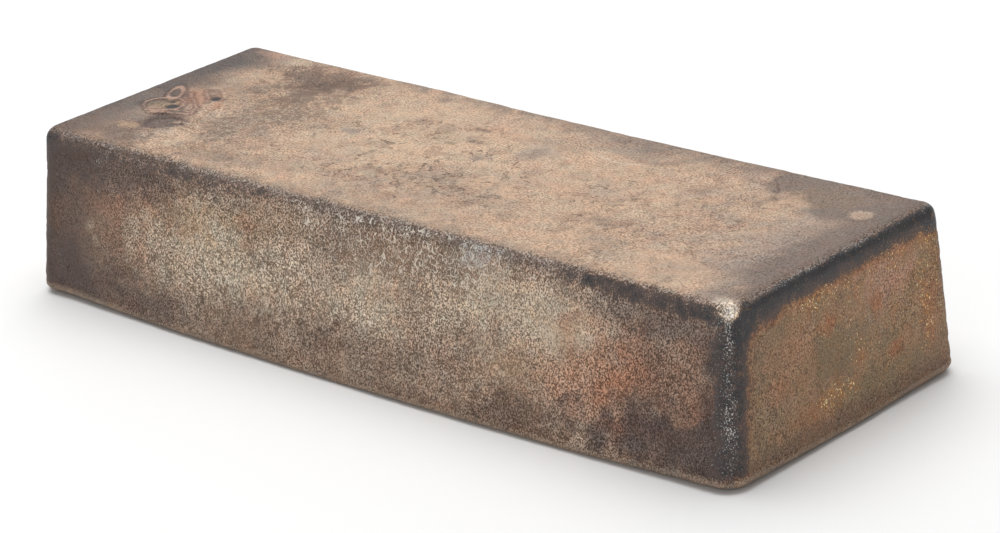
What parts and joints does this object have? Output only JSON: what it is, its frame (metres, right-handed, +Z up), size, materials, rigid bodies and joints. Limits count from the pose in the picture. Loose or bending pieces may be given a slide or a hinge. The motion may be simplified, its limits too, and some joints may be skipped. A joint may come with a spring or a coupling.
{
  "type": "silver ingot",
  "caption": "Cast silver bar with drafted sides and rounded edges, tarnished brown and grey, lying on its wide poured face.",
  "frame": {"origin": "middle of the poured face that the bar lies on", "axes": "+X along the bar, +Z up towards the narrower face cast on the mould's floor"},
  "size_m": [0.3448, 0.138, 0.066],
  "materials": {
    "toned_metal": "as-cast silver, toned brown, grey and copper, satin with a pitted skin"
  },
  "bodies": {
    "root": {"ingot": "toned_metal"}
  },
  "joints": []
}
